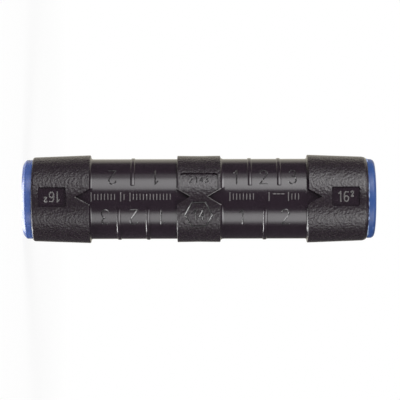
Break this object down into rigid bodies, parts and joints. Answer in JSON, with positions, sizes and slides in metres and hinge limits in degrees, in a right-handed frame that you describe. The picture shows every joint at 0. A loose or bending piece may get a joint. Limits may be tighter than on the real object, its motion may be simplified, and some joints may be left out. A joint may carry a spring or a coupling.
{
  "type": "pre-insulated compression sleeve",
  "caption": "Black insulated compression sleeve that joins small insulated aluminium conductors end to end, with rubber seals and blue entry rings.",
  "frame": {"origin": "on the sleeve's axis, at the flat face of the lower end ring that it stands on", "axes": "+Z along the sleeve's axis, from the lower end ring to the upper one; -Y is the front, with the recessed plates, arrow notches and the gap between the ribs"},
  "size_m": [0.0182, 0.0181, 0.0723],
  "materials": {
    "shell_plastic": "glossy",
    "barrel_aluminium": "turned",
    "seal_rubber": "matte",
    "ring_plastic": "satin"
  },
  "bodies": {
    "root": {"insulating_shell": "shell_plastic", "conductor_barrel": "barrel_aluminium", "lower_seal": "seal_rubber", "upper_seal": "seal_rubber", "lower_end_ring": "ring_plastic", "upper_end_ring": "ring_plastic"}
  },
  "joints": []
}
